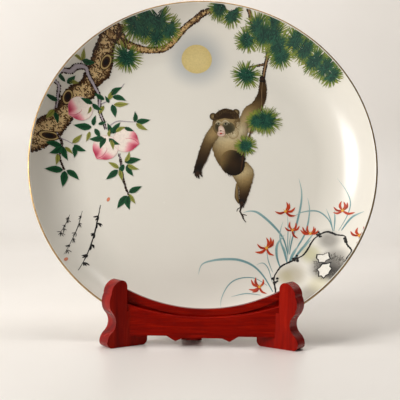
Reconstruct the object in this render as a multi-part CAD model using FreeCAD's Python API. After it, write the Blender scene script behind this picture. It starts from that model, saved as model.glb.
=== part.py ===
# Painted porcelain display plate leaning on a rosewood stand with a folding rear leg.
# Millimetres, +Z up. The stand faces -Y. The origin is at the bottom centre of the whole object.
import FreeCAD, Part
import math
import os

from FreeCAD import Vector

# ---- plate ---------------------------------------------------------------------------------
PLATE_DIAMETER = 410.0
PLATE_HEIGHT = 43.0          # rim plane to the bottom of the foot ring
WELL_DEPTH = 34.0            # rim plane to the flat painted floor
FLOOR_RADIUS = 140.0         # flat floor, before the wall starts to rise
FLOOR_THICKNESS = 5.5
LIP_RADIUS = 1.8             # half the thickness of the rounded rim
RING_RADIUS = 110.0          # outside of the foot ring
RING_WIDTH = 6.0
RING_ROUND = 1.4
LIP_INSIDE = 145.0           # degrees round the rim where the painted face starts
LIP_OUTSIDE = -40.0          # and where the back starts
LEAN = 18.5                  # degrees the plate leans back from upright
RIM_LOW_Y = 30.6             # lowest point of the rim, behind the front of the feet
RIM_LOW_Z = 11.85

# ---- side panels ---------------------------------------------------------------------------
BOARD = 17.0                 # thickness of the boot-shaped panels
SPLAY = 35.0                 # degrees each panel is turned in plan
PANEL_X = 82.3               # rear edge of the head, inner corner
PANEL_Y = 13.7
PANEL_HEIGHT = 72.7
TOE_LENGTH = 23.9            # front of the foot, ahead of the rear edge of the head
TOE_ROUND = 6.0
TOE_KNUCKLE_Z = 8.0          # where the front of the toe is furthest forward
TOE_SLOPE = 5.5              # how far the toe's top has drawn back
TOE_TOP_Z = 17.0
WAIST_REACH = 13.6
WAIST_Z = 27.0
SHOULDER_SLOPE = 6.5
SHOULDER_Z = 37.0
HEAD_REACH = 21.8
HEAD_Z = 47.0
BROW_SLOPE = 2.2
BROW_Z = 58.0
CROWN_REACH = 7.0            # where the rounded top of the head is highest
CROWN_ROUND = 7.0            # drop of the crown's rear corner
HEEL_LENGTH = 26.8           # back of the foot, behind the rear edge of the head
HEEL_ROUND = 6.0
BACK_TOP = 39.0              # top of the board behind the head, hidden by the rails
BACK_ROUND = 4.0
TOE_CORNER = (0.2, 0.4)      # middle of the toe's lower corner, in parts of its round
CROWN_SHOULDER = (14.8, 3.6) # front of the crown: forward, and down from the top
ARC_BULGE = 0.3              # part of a rounded corner's size that its middle stands in
SEAT_Y = 33.0                # the rim rests behind this line
SEAT_Z = 20.9

# ---- rails ---------------------------------------------------------------------------------
FRONT_RAIL_Y = 15.8
FRONT_RAIL_THICKNESS = 6.0
FRONT_RAIL_LOW = 32.9        # top edge at the middle
FRONT_RAIL_RISE = 12.5       # how much higher the top is at the rail's ends
FRONT_RAIL_BOTTOM = 12.1
FRONT_RAIL_CHAMFER = 1.2
REAR_RAIL_Y = 22.3
REAR_RAIL_THICKNESS = 5.5
REAR_RAIL_LOW = 40.9
REAR_RAIL_RISE = 18.6
REAR_RAIL_BOTTOM = 14.0
REAR_BAND = 8.6              # height of the raised band along the top
REAR_RECESS = 2.2            # depth of the face below the band
RAIL_HALF_SPAN = 80.0        # where the rise of both rails is measured
RAIL_REACH = 90.0            # half length before the ends are trimmed to the panels
DROP_X = 29.6                # tip of a pointed drop
DROP_Z = 6.2
DROP_OUTER = 39.2
DROP_INNER = 21.5
DROP_ARCH = 10.0             # underside between the drops

# ---- hidden back of the stand --------------------------------------------------------------
STRETCHER_DEPTH = 6.9
STRETCHER_Z = 10.8
STRETCHER_THICKNESS = 3.1
KEEL_WIDTH = 14.0
KEEL_THICKNESS = 4.4
KEEL_BACK = 66.0
POST_WIDTH = 23.0
POST_THICKNESS = 14.0
POST_GAP = 0.3               # between the foot ring and the post
POST_TOE_Y = 54.5
POST_TOE_HEIGHT = 14.0
POST_TOE_ROUND = 3.0
POST_ELBOW = (74.0, 19.5)    # Y and Z on the curve from the toe into the post
POST_BEND = 38.0             # along the lean, where the curve ends
POST_X = -11.0               # the post and its leg stand a little left of the middle
POST_TOP = 245.0             # along the lean, from the lowest point of the rim
POST_CROWN = 4.0
PAD_SET_DOWN = 6.0           # pad's top below the top of the post
PAD_LENGTH = 18.0
PAD_WIDTH = 18.0

# ---- folding leg ---------------------------------------------------------------------------
OPEN_ANGLE = 33.0
PIVOT_ALONG = 205.0          # along the lean, from the lowest point of the rim
LEG_WIDTH = 18.0
LEG_THICKNESS = 14.0
HEEL_STOP = 10.0             # length of the leg above the pivot
BRACKET_WALL = 1.6
BRACKET_LENGTH = 34.0
PIVOT_OFFSET = 7.8           # pin axis behind the bracket's web
PIN_RADIUS = 2.5
PIN_CLEARANCE = 0.05
PIN_HEAD_RADIUS = 4.0
PIN_HEAD = 1.6
WASHER_RADIUS = 5.0
WASHER = 0.5
FLANGE_GAP = 0.7             # between the leg and each flange
SCREW_RADIUS = 1.5
SCREW_HEAD_RADIUS = 2.8
SCREW_LENGTH = 9.0
SCREW_INSET = 4.0            # from the bracket's ends
SCREW_ACROSS = 5.2           # from its middle line
EAR_RADIUS = 8.0             # rounded end of the bracket's flanges
STOP_STEP = 1.0              # the leg's stop stands this much inside its back face
LEG_FOOT_ROUND = 3.0
KEEL_SCREW_RADIUS = 1.2
KEEL_SCREW_X = 4.0
KEEL_SCREW_COVER = 0.6       # wood left over the end of each keel screw

# ---- joinery -------------------------------------------------------------------------------
DOWEL_RADIUS = 1.5
DOWEL_LENGTH = 14.0
FRONT_DOWEL_Z = 28.0
REAR_DOWEL_Z = 32.0
PEG_RADIUS = 1.0
DOWEL_CLEARANCE = 0.05
CUT_MARGIN = 1.0             # small overrun of a cut or a drilled hole
TINY = 1e-6                  # tolerance for finding an edge by its place
OVERSIZE = 30.0              # how far cutting tools reach past what they cut

PLATE_RADIUS = PLATE_DIAMETER / 2
POST_DEPTH = PLATE_HEIGHT + POST_GAP
SIN_LEAN = math.sin(math.radians(LEAN))
COS_LEAN = math.cos(math.radians(LEAN))


def leaning_point(along, depth):
    """Y and Z of a point up the plate's lean and behind its rim plane."""
    y = RIM_LOW_Y + along * SIN_LEAN + depth * COS_LEAN
    z = RIM_LOW_Z + along * COS_LEAN - depth * SIN_LEAN
    return y, z


def along_at_floor(depth):
    """How far up the lean the table is, at a depth behind the rim plane."""
    return (depth * SIN_LEAN - RIM_LOW_Z) / COS_LEAN


def side_vector(point):
    return Vector(0, point[0], point[1])


def face_from(edges):
    return Part.Face(Part.Wire(Part.__sortEdges__(edges)))


def polygon_face(points):
    return Part.Face(Part.makePolygon(points + [points[0]]))


def box(x0, x1, y0, y1, z0, z1):
    return Part.makeBox(x1 - x0, y1 - y0, z1 - z0, Vector(x0, y0, z0))


def line(start, end):
    return Part.LineSegment(start, end).toShape()


def arc(start, middle, end):
    return Part.Arc(start, middle, end).toShape()


def mirrored(shape):
    return shape.mirror(Vector(0, 0, 0), Vector(1, 0, 0))


def rod(centre, direction, radius, length):
    """A rod centred on a point."""
    unit = Vector(direction).normalize()
    return Part.makeCylinder(radius, length, centre - unit * (length / 2), unit)


# ---- the plate -----------------------------------------------------------------------------
def rising_arc(start_r, start_h, end_r, end_h):
    """Arc in the turning plane that leaves a flat floor and rises to the rim."""
    run = end_r - start_r
    rise = end_h - start_h
    radius = (run * run + rise * rise) / (2 * rise)
    half_turn = math.asin(run / radius) / 2
    middle_r = start_r + radius * math.sin(half_turn)
    middle_h = start_h + radius * (1 - math.cos(half_turn))
    return arc(Vector(start_r, 0, start_h), Vector(middle_r, 0, middle_h), Vector(end_r, 0, end_h))


def lip_point(degrees):
    """Point on the rounded rim, in the turning plane."""
    turn = math.radians(degrees)
    centre_r = PLATE_RADIUS - LIP_RADIUS
    return Vector(centre_r + LIP_RADIUS * math.cos(turn), 0, LIP_RADIUS * (math.sin(turn) - 1))


def make_plate():
    floor = -WELL_DEPTH
    under = floor - FLOOR_THICKNESS
    bottom = -PLATE_HEIGHT
    ring_inner = RING_RADIUS - RING_WIDTH
    inside_lip = lip_point(LIP_INSIDE)
    outside_lip = lip_point(LIP_OUTSIDE)
    edges = [
        line(Vector(0, 0, floor), Vector(FLOOR_RADIUS, 0, floor)),
        rising_arc(FLOOR_RADIUS, floor, inside_lip.x, inside_lip.z),
        arc(inside_lip, lip_point((LIP_INSIDE + LIP_OUTSIDE) / 2), outside_lip),
        rising_arc(FLOOR_RADIUS, under, outside_lip.x, outside_lip.z),
        line(Vector(FLOOR_RADIUS, 0, under), Vector(RING_RADIUS, 0, under)),
        line(Vector(RING_RADIUS, 0, under), Vector(RING_RADIUS, 0, bottom)),
        line(Vector(RING_RADIUS, 0, bottom), Vector(ring_inner, 0, bottom)),
        line(Vector(ring_inner, 0, bottom), Vector(ring_inner, 0, under)),
        line(Vector(ring_inner, 0, under), Vector(0, 0, under)),
        line(Vector(0, 0, under), Vector(0, 0, floor)),
    ]
    plate = face_from(edges).revolve(Vector(0, 0, 0), Vector(0, 0, 1), 360)
    ring_edges = [e for e in plate.Edges if abs(e.BoundBox.ZMax - bottom) < TINY]
    plate = plate.makeFillet(RING_ROUND, ring_edges)
    centre_y, centre_z = leaning_point(PLATE_RADIUS, 0)
    plate.rotate(Vector(0, 0, 0), Vector(1, 0, 0), 90 - LEAN)
    plate.translate(Vector(0, centre_y, centre_z))
    return plate


# ---- side panels ---------------------------------------------------------------------------
def panel_outline():
    """Boot-shaped outline, X forward from the rear edge of the head and Z up."""
    def at(forward, up):
        return Vector(forward, 0, up)

    toe_back = at(TOE_LENGTH - TOE_ROUND, 0)
    knuckle = at(TOE_LENGTH, TOE_KNUCKLE_Z)
    toe_top = at(TOE_LENGTH - TOE_SLOPE, TOE_TOP_Z)
    shoulder = at(TOE_LENGTH - SHOULDER_SLOPE, SHOULDER_Z)
    brow = at(HEAD_REACH - BROW_SLOPE, BROW_Z)
    crown = at(CROWN_REACH, PANEL_HEIGHT)
    nape = at(0, PANEL_HEIGHT - CROWN_ROUND)
    back_corner = at(0, BACK_TOP)
    back_edge = at(BACK_ROUND - HEEL_LENGTH, BACK_TOP)
    heel_top = at(-HEEL_LENGTH, BACK_TOP - BACK_ROUND)
    heel_low = at(-HEEL_LENGTH, HEEL_ROUND)
    sole_back = at(HEEL_ROUND - HEEL_LENGTH, 0)
    back_bulge = BACK_ROUND * ARC_BULGE
    heel_bulge = HEEL_ROUND * ARC_BULGE
    return [
        line(sole_back, toe_back),
        arc(toe_back, at(TOE_LENGTH - TOE_ROUND * TOE_CORNER[0], TOE_ROUND * TOE_CORNER[1]), knuckle),
        arc(knuckle, at(TOE_LENGTH - TOE_SLOPE * ARC_BULGE, (TOE_KNUCKLE_Z + TOE_TOP_Z) / 2), toe_top),
        arc(toe_top, at(WAIST_REACH, WAIST_Z), shoulder),
        arc(shoulder, at(HEAD_REACH, HEAD_Z), brow),
        arc(brow, at(CROWN_SHOULDER[0], PANEL_HEIGHT - CROWN_SHOULDER[1]), crown),
        arc(crown, at(CROWN_ROUND * ARC_BULGE, PANEL_HEIGHT - CROWN_ROUND * ARC_BULGE), nape),
        line(nape, back_corner),
        line(back_corner, back_edge),
        arc(back_edge, at(back_bulge - HEEL_LENGTH, BACK_TOP - back_bulge), heel_top),
        line(heel_top, heel_low),
        arc(heel_low, at(heel_bulge - HEEL_LENGTH, heel_bulge), sole_back),
    ]


def make_right_panel():
    panel = face_from(panel_outline()).extrude(Vector(0, BOARD, 0))
    panel.rotate(Vector(0, 0, 0), Vector(0, 0, 1), -SPLAY)
    panel.translate(Vector(PANEL_X, PANEL_Y, 0))
    seat = box(0, PLATE_RADIUS, SEAT_Y, SEAT_Y + OVERSIZE, SEAT_Z, PANEL_HEIGHT + OVERSIZE)
    return panel.cut(seat)


def ahead_of_heads():
    """Space ahead of the rear edges of both heads, where the lapped rail ends are trimmed."""
    space = box(0, OVERSIZE, -OVERSIZE, BOARD + OVERSIZE, BACK_TOP, PANEL_HEIGHT + OVERSIZE)
    space.rotate(Vector(0, 0, 0), Vector(0, 0, 1), -SPLAY)
    space.translate(Vector(PANEL_X, PANEL_Y, 0))
    return space.fuse(mirrored(space))


# ---- rails ---------------------------------------------------------------------------------
def dished_radius(rise):
    return (RAIL_HALF_SPAN ** 2 + rise ** 2) / (2 * rise)


def dished_height(low, rise, x):
    """Height of a dished top edge at a distance from the middle."""
    radius = dished_radius(rise)
    return low + radius - math.sqrt(radius * radius - x * x)


def dished_edge(low, rise, reach):
    end = dished_height(low, rise, reach)
    return arc(Vector(-reach, 0, end), Vector(0, 0, low), Vector(reach, 0, end))


def kept_middle(shape):
    """The middle piece, once a rail has been trimmed by the panels at its ends."""
    return min(shape.Solids, key=lambda solid: abs(solid.CenterOfMass.x))


def drop_edges(side):
    """Underside of the front rail on one side: shoulder, pointed drop, shoulder."""
    def at(x, z):
        return Vector(side * x, 0, z)

    tip = at(DROP_X, DROP_Z)
    return [
        line(at(DROP_OUTER, FRONT_RAIL_BOTTOM), tip),
        line(tip, at(DROP_INNER, DROP_ARCH)),
    ]


def make_front_rail(trim):
    reach = RAIL_REACH
    top = dished_height(FRONT_RAIL_LOW, FRONT_RAIL_RISE, reach)
    edges = [dished_edge(FRONT_RAIL_LOW, FRONT_RAIL_RISE, reach)]
    for side in (-1, 1):
        corner = Vector(side * reach, 0, FRONT_RAIL_BOTTOM)
        edges.append(line(Vector(side * reach, 0, top), corner))
        edges.append(line(corner, Vector(side * DROP_OUTER, 0, FRONT_RAIL_BOTTOM)))
        edges += drop_edges(side)
    edges.append(line(Vector(-DROP_INNER, 0, DROP_ARCH), Vector(DROP_INNER, 0, DROP_ARCH)))
    rail = face_from(edges).extrude(Vector(0, FRONT_RAIL_THICKNESS, 0))
    top_edges = [e for e in rail.Edges if e.BoundBox.ZMin > FRONT_RAIL_BOTTOM + 1 and e.BoundBox.YMax < TINY]
    rail = rail.makeChamfer(FRONT_RAIL_CHAMFER, [max(top_edges, key=lambda e: e.Length)])
    rail.translate(Vector(0, FRONT_RAIL_Y, 0))
    return kept_middle(rail.cut(trim))


def make_rear_rail(trim):
    reach = RAIL_REACH
    top = dished_height(REAR_RAIL_LOW, REAR_RAIL_RISE, reach)
    edges = [
        dished_edge(REAR_RAIL_LOW, REAR_RAIL_RISE, reach),
        line(Vector(reach, 0, top), Vector(reach, 0, REAR_RAIL_BOTTOM)),
        line(Vector(reach, 0, REAR_RAIL_BOTTOM), Vector(-reach, 0, REAR_RAIL_BOTTOM)),
        line(Vector(-reach, 0, REAR_RAIL_BOTTOM), Vector(-reach, 0, top)),
    ]
    rail = face_from(edges).extrude(Vector(0, REAR_RAIL_THICKNESS, 0))
    below = REAR_RAIL_LOW - REAR_BAND
    recess_edges = [
        dished_edge(below, REAR_RAIL_RISE, reach),
        line(Vector(reach, 0, top - REAR_BAND), Vector(reach, 0, 0)),
        line(Vector(reach, 0, 0), Vector(-reach, 0, 0)),
        line(Vector(-reach, 0, 0), Vector(-reach, 0, top - REAR_BAND)),
    ]
    rail = rail.cut(face_from(recess_edges).extrude(Vector(0, REAR_RECESS, 0)))
    rail.translate(Vector(0, REAR_RAIL_Y, 0))
    return kept_middle(rail.cut(trim))


# ---- back of the stand ---------------------------------------------------------------------
def make_stretcher(panels):
    """Flat bar under the rear rail, trimmed to the two feet."""
    reach = PANEL_X + BOARD
    top = STRETCHER_Z + STRETCHER_THICKNESS
    bar = box(-reach, reach, REAR_RAIL_Y, REAR_RAIL_Y + STRETCHER_DEPTH, STRETCHER_Z, top)
    return kept_middle(bar.cut(panels))


def make_keel():
    """Bar from under the stretcher back into the toe of the post."""
    half = KEEL_WIDTH / 2
    return box(-half, half, REAR_RAIL_Y, KEEL_BACK, STRETCHER_Z - KEEL_THICKNESS, STRETCHER_Z)


def make_back_post(keel):
    """Board on edge: a toe on the table, then a post along the back of the plate."""
    back = POST_DEPTH + POST_THICKNESS
    corner = POST_TOE_ROUND * ARC_BULGE
    toe_low = side_vector((POST_TOE_Y, 0))
    toe_front = side_vector((POST_TOE_Y, POST_TOE_HEIGHT - POST_TOE_ROUND))
    toe_corner = side_vector((POST_TOE_Y + corner, POST_TOE_HEIGHT - corner))
    toe_top = side_vector((POST_TOE_Y + POST_TOE_ROUND, POST_TOE_HEIGHT))
    bend = side_vector(leaning_point(POST_BEND, POST_DEPTH))
    top_front = side_vector(leaning_point(POST_TOP - POST_CROWN, POST_DEPTH))
    top_middle = side_vector(leaning_point(POST_TOP, POST_DEPTH + POST_THICKNESS / 2))
    top_back = side_vector(leaning_point(POST_TOP - POST_CROWN, back))
    back_low = side_vector(leaning_point(along_at_floor(back), back))
    edges = [
        line(toe_low, toe_front),
        arc(toe_front, toe_corner, toe_top),
        arc(toe_top, side_vector(POST_ELBOW), bend),
        line(bend, top_front),
        arc(top_front, top_middle, top_back),
        line(top_back, back_low),
        line(back_low, toe_low),
    ]
    post = face_from(edges).extrude(Vector(POST_WIDTH, 0, 0))
    post.translate(Vector(-POST_WIDTH / 2, 0, 0))
    return post.cut(keel)


def leaning_box(half_width, along0, along1, depth0, depth1):
    """A block laid along the lean of the plate, centred on X = 0."""
    corners = [(along0, depth0), (along1, depth0), (along1, depth1), (along0, depth1)]
    points = [Vector(-half_width, *leaning_point(*corner)) for corner in corners]
    return polygon_face(points).extrude(Vector(2 * half_width, 0, 0))


def make_rest_pad():
    """Felt pad in the hollow of the foot ring, between the post and the plate's back."""
    front = WELL_DEPTH + FLOOR_THICKNESS + POST_GAP
    top = POST_TOP - PAD_SET_DOWN
    return leaning_box(PAD_WIDTH / 2, top - PAD_LENGTH, top, front, POST_DEPTH)


# ---- leg and its bracket -------------------------------------------------------------------
WEB_FRONT = POST_DEPTH + POST_THICKNESS
WEB_BACK = WEB_FRONT + BRACKET_WALL
PIVOT_DEPTH = WEB_BACK + PIVOT_OFFSET
PIVOT_Y, PIVOT_Z = leaning_point(PIVOT_ALONG, PIVOT_DEPTH)
FLANGE_INSIDE = LEG_WIDTH / 2 + FLANGE_GAP
FLANGE_OUTSIDE = FLANGE_INSIDE + BRACKET_WALL
LEG_TILT = OPEN_ANGLE - LEAN     # of the open leg, back from upright


def pivot_rod(radius, length):
    return rod(Vector(0, PIVOT_Y, PIVOT_Z), Vector(1, 0, 0), radius, length)


def screw_places():
    """Along the lean and across, for the four screws of the bracket."""
    reach = BRACKET_LENGTH / 2 - SCREW_INSET
    return [(PIVOT_ALONG + a, x) for a in (-reach, reach) for x in (-SCREW_ACROSS, SCREW_ACROSS)]


def screw_axis(along, x, depth):
    return Vector(x, *leaning_point(along, depth))


BACKWARD = Vector(0, COS_LEAN, -SIN_LEAN)


def make_bracket_screws():
    screws = []
    for along, x in screw_places():
        head = screw_axis(along, x, WEB_BACK)
        cone = Part.makeCone(SCREW_HEAD_RADIUS, SCREW_RADIUS, BRACKET_WALL, head, -BACKWARD)
        shank = Part.makeCylinder(SCREW_RADIUS, SCREW_LENGTH, head, -BACKWARD)
        screws.append(cone.fuse(shank).removeSplitter())
    return Part.makeCompound(screws)


def make_bracket(screws):
    low = PIVOT_ALONG - BRACKET_LENGTH / 2
    high = PIVOT_ALONG + BRACKET_LENGTH / 2
    web = leaning_box(FLANGE_OUTSIDE, low, high, WEB_FRONT, WEB_BACK)
    ear_low = PIVOT_ALONG - EAR_RADIUS
    ear_high = PIVOT_ALONG + EAR_RADIUS
    ears = leaning_box(FLANGE_OUTSIDE, ear_low, ear_high, WEB_BACK, PIVOT_DEPTH)
    ears = ears.fuse(pivot_rod(EAR_RADIUS, 2 * FLANGE_OUTSIDE))
    reach = WEB_BACK + OVERSIZE
    ears = ears.cut(leaning_box(FLANGE_OUTSIDE + CUT_MARGIN, low, high, WEB_BACK - OVERSIZE, WEB_BACK))
    ears = ears.cut(leaning_box(FLANGE_INSIDE, low, high, WEB_BACK - OVERSIZE, reach))
    bracket = web.fuse(ears).removeSplitter()
    return bracket.cut(pivot_rod(PIN_RADIUS + PIN_CLEARANCE, 4 * FLANGE_OUTSIDE)).cut(screws)


def make_pivot_pin():
    pin = pivot_rod(PIN_RADIUS, 2 * FLANGE_OUTSIDE)
    for side in (-1, 1):
        centre = Vector(side * (FLANGE_OUTSIDE + PIN_HEAD / 2), PIVOT_Y, PIVOT_Z)
        head = rod(centre, Vector(1, 0, 0), PIN_HEAD_RADIUS, PIN_HEAD)
        outer = [e for e in head.Edges if abs(e.BoundBox.XMin - side * (FLANGE_OUTSIDE + PIN_HEAD)) < TINY]
        pin = pin.fuse(head.makeFillet(PIN_HEAD / 2, outer))
    return pin.removeSplitter()


def make_washers():
    washers = []
    for side in (-1, 1):
        centre = Vector(side * (LEG_WIDTH / 2 + FLANGE_GAP / 2), PIVOT_Y, PIVOT_Z)
        disc = rod(centre, Vector(1, 0, 0), WASHER_RADIUS, WASHER)
        washers.append(disc.cut(pivot_rod(PIN_RADIUS + PIN_CLEARANCE, 4 * FLANGE_OUTSIDE)))
    return Part.makeCompound(washers)


def leg_point(along, depth):
    """Y and Z on the open leg: along it from the pivot, and behind its centre line."""
    turn = math.radians(LEG_TILT)
    y = PIVOT_Y + along * math.sin(turn) + depth * math.cos(turn)
    z = PIVOT_Z - along * math.cos(turn) + depth * math.sin(turn)
    return y, z


def make_leg():
    half = LEG_THICKNESS / 2
    reach = 2 * PIVOT_Z
    strip = [(0, -half), (reach, -half), (reach, half), (0, half)]
    points = [Vector(-LEG_WIDTH / 2, *leg_point(*corner)) for corner in strip]
    leg = polygon_face(points).extrude(Vector(LEG_WIDTH, 0, 0))
    leg = leg.fuse(pivot_rod(half, LEG_WIDTH))
    stop_front = WEB_BACK + POST_GAP
    stop_back = PIVOT_DEPTH + half - STOP_STEP
    stop = leaning_box(LEG_WIDTH / 2, PIVOT_ALONG, PIVOT_ALONG + HEEL_STOP, stop_front, stop_back)
    leg = leg.fuse(stop).removeSplitter()
    floor = box(-OVERSIZE, OVERSIZE, 0, reach, -reach, 0)
    leg = leg.cut(floor)
    foot = [e for e in leg.Edges if e.BoundBox.ZMax < TINY and e.BoundBox.XLength > LEG_WIDTH / 2]
    rear = max(foot, key=lambda e: e.BoundBox.YMax)
    leg = leg.makeFillet(LEG_FOOT_ROUND, [rear])
    return leg.cut(pivot_rod(PIN_RADIUS + PIN_CLEARANCE, 2 * LEG_WIDTH))


# ---- joinery -------------------------------------------------------------------------------
def rail_dowels(radius, length):
    """Four dowels: each rail end into the side panel it meets."""
    cot = 1 / math.tan(math.radians(SPLAY))
    front_y = FRONT_RAIL_Y + FRONT_RAIL_THICKNESS / 2
    rear_y = REAR_RAIL_Y + (REAR_RAIL_THICKNESS + REAR_RECESS) / 2
    dowels = []
    for y, z in ((front_y, FRONT_DOWEL_Z), (rear_y, REAR_DOWEL_Z)):
        x = PANEL_X - (y - PANEL_Y) * cot
        dowels.append(rod(Vector(x, y, z), Vector(1, 0, 0), radius, length))
    return dowels + [mirrored(dowel) for dowel in dowels]


def stretcher_dowels(radius, length):
    """Thin pegs from the ends of the stretcher into the feet."""
    middle_y = REAR_RAIL_Y + STRETCHER_DEPTH / 2
    x = PANEL_X - (middle_y - PANEL_Y) / math.tan(math.radians(SPLAY))
    centre = Vector(x, middle_y, STRETCHER_Z + STRETCHER_THICKNESS / 2)
    peg = rod(centre, Vector(1, 0, 0), radius, length)
    return [peg, mirrored(peg)]


def keel_screws():
    """Two short screws up through the keel into the stretcher."""
    y = REAR_RAIL_Y + STRETCHER_DEPTH / 2
    z = STRETCHER_Z - KEEL_THICKNESS
    length = KEEL_THICKNESS + STRETCHER_THICKNESS - KEEL_SCREW_COVER
    places = [Vector(x, y, z) for x in (-KEEL_SCREW_X, KEEL_SCREW_X)]
    return [Part.makeCylinder(KEEL_SCREW_RADIUS, length, place) for place in places]


def drilled(shape, tools):
    for tool in tools:
        shape = shape.cut(tool)
    return shape


def build():
    right_panel = make_right_panel()
    left_panel = mirrored(right_panel)
    panels = right_panel.fuse(left_panel)
    trim = panels.fuse(ahead_of_heads())
    front_rail = make_front_rail(trim)
    rear_rail = make_rear_rail(trim)
    aside = Vector(POST_X, 0, 0)
    stretcher = make_stretcher(panels)
    keel = make_keel()
    back_post = make_back_post(keel)
    screws = make_bracket_screws()

    dowel_holes = rail_dowels(DOWEL_RADIUS + DOWEL_CLEARANCE, DOWEL_LENGTH + CUT_MARGIN)
    stretcher_holes = stretcher_dowels(PEG_RADIUS + DOWEL_CLEARANCE, DOWEL_LENGTH + CUT_MARGIN)
    keel_fixings = keel_screws()
    stretcher_fixings = [screw.translated(aside) for screw in keel_fixings]
    panel_holes = dowel_holes + stretcher_holes

    middle = {
        "keel": drilled(keel, keel_fixings),
        "keel_screws": Part.makeCompound(keel_fixings),
        "back_post": back_post.cut(screws),
        "rest_pad": make_rest_pad(),
        "leg_bracket": make_bracket(screws),
        "bracket_screws": screws,
        "pivot_pin": make_pivot_pin(),
        "pivot_washers": make_washers(),
        "rear_leg": make_leg(),
    }
    nodes = {name: shape.translated(aside) for name, shape in middle.items()}
    nodes.update({
        "plate": make_plate(),
        "left_side_panel": drilled(left_panel, panel_holes),
        "right_side_panel": drilled(right_panel, panel_holes),
        "front_rail": drilled(front_rail, dowel_holes),
        "rear_rail": drilled(rear_rail, dowel_holes),
        "rear_stretcher": drilled(stretcher, stretcher_holes + stretcher_fixings),
        "rail_dowels": Part.makeCompound(rail_dowels(DOWEL_RADIUS, DOWEL_LENGTH)),
        "stretcher_dowels": Part.makeCompound(stretcher_dowels(PEG_RADIUS, DOWEL_LENGTH)),
    })
    return nodes


def main():
    os.makedirs("parts", exist_ok=True)
    nodes = build()
    whole = Part.makeCompound(list(nodes.values())).optimalBoundingBox(False, False)
    shift = Vector(-whole.Center.x, -whole.Center.y, -whole.ZMin)
    for name, shape in nodes.items():
        shape.translate(shift)
        shape.exportStep(f"parts/{name}.step")
        size = shape.optimalBoundingBox(False, False)
        print(name, len(shape.Solids), shape.isValid(), size)
    print("shift", shift, "whole", whole)
    print("pivot", PIVOT_Y + shift.y, PIVOT_Z + shift.z)


main()
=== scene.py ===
import math
import random

import bpy
from mathutils import Matrix, Vector


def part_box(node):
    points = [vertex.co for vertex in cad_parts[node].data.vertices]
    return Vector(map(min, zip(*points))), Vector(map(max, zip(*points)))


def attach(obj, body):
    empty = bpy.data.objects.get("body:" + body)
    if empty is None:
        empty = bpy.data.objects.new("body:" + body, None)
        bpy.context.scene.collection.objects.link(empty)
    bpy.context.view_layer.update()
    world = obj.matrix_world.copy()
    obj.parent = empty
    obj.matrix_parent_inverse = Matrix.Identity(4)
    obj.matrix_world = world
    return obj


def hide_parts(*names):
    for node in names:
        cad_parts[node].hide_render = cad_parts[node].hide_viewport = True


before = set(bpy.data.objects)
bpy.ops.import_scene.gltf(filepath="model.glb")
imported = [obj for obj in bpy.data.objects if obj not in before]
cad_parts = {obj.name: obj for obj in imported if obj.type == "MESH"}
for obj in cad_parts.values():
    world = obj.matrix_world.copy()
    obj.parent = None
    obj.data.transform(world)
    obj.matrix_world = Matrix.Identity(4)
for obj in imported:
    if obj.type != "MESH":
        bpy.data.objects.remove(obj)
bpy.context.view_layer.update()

MM = 0.001

# ---- plate, as turned on the wheel -----------------------------------------------------------
RADIUS = 205 * MM
LEAN = math.radians(18.5)
WELL_DEPTH = 34 * MM          # rim plane to the flat floor
FLOOR_RADIUS = 140 * MM       # where the wall starts to rise
FLOOR_THICKNESS = 5.5 * MM
PLATE_HEIGHT = 43 * MM        # rim plane to the bottom of the foot ring
LIP = 1.8 * MM                # radius of the rounded rim
RING_RADIUS = 110 * MM
RING_WIDTH = 6 * MM
RING_ROUND = 1.4 * MM
GILT_LIFT = 0.06 * MM         # gilding over the glaze
SEGMENTS = 288                # round the plate
FLOOR_RINGS = 70              # from the middle to the wall
WALL_RINGS = 44
UNDER_RINGS = 30

RIGHT = Vector((1, 0, 0))
UP = Vector((0, math.sin(LEAN), math.cos(LEAN)))
BACK = Vector((0, math.cos(LEAN), -math.sin(LEAN)))
plate_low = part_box("plate")[0]
lip_centre = Vector((0, plate_low[1] + LIP, plate_low[2] + LIP))
CENTRE = lip_centre + UP * (RADIUS - LIP) - BACK * LIP


def lip_point(degrees, reach=LIP):
    """Radius and height of a point round the rim's bead; heights are from the rim plane, forwards."""
    turn = math.radians(degrees)
    return RADIUS - LIP + reach * math.cos(turn), reach * math.sin(turn) - LIP


def rising_radius(start, end):
    """Radius of the arc that leaves a flat floor at start and rises to end."""
    run = end[0] - start[0]
    rise = end[1] - start[1]
    return (run * run + rise * rise) / (2 * rise)


FRONT_START = (FLOOR_RADIUS, -WELL_DEPTH)
FRONT_END = lip_point(145)
FRONT_ARC = rising_radius(FRONT_START, FRONT_END)


def glaze_height(radius):
    """Height of the painted face at a radius, from the rim plane."""
    reach = max(0.0, radius - FLOOR_RADIUS)
    return FRONT_ARC - WELL_DEPTH - math.sqrt(max(0.0, FRONT_ARC ** 2 - reach ** 2))


def on_glaze(x, y, lift=0.0):
    """World point over the painted face at x to the right and y up the plate, in metres."""
    radius = math.hypot(x, y)
    tilt = math.asin(max(0.0, radius - FLOOR_RADIUS) / FRONT_ARC)
    inward = lift * math.sin(tilt)
    scale = (radius - inward) / radius if radius > 1e-9 else 1.0
    height = glaze_height(radius) + lift * math.cos(tilt)
    return CENTRE + RIGHT * (x * scale) + UP * (y * scale) - BACK * height


# ---- small helpers ---------------------------------------------------------------------------
def clamp(value, low=0.0, high=1.0):
    return max(low, min(high, value))


def mix(a, b, t):
    return tuple(p + (q - p) * t for p, q in zip(a, b))


def smooth(edge0, edge1, value):
    t = clamp((value - edge0) / (edge1 - edge0))
    return t * t * (3 - 2 * t)


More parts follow.
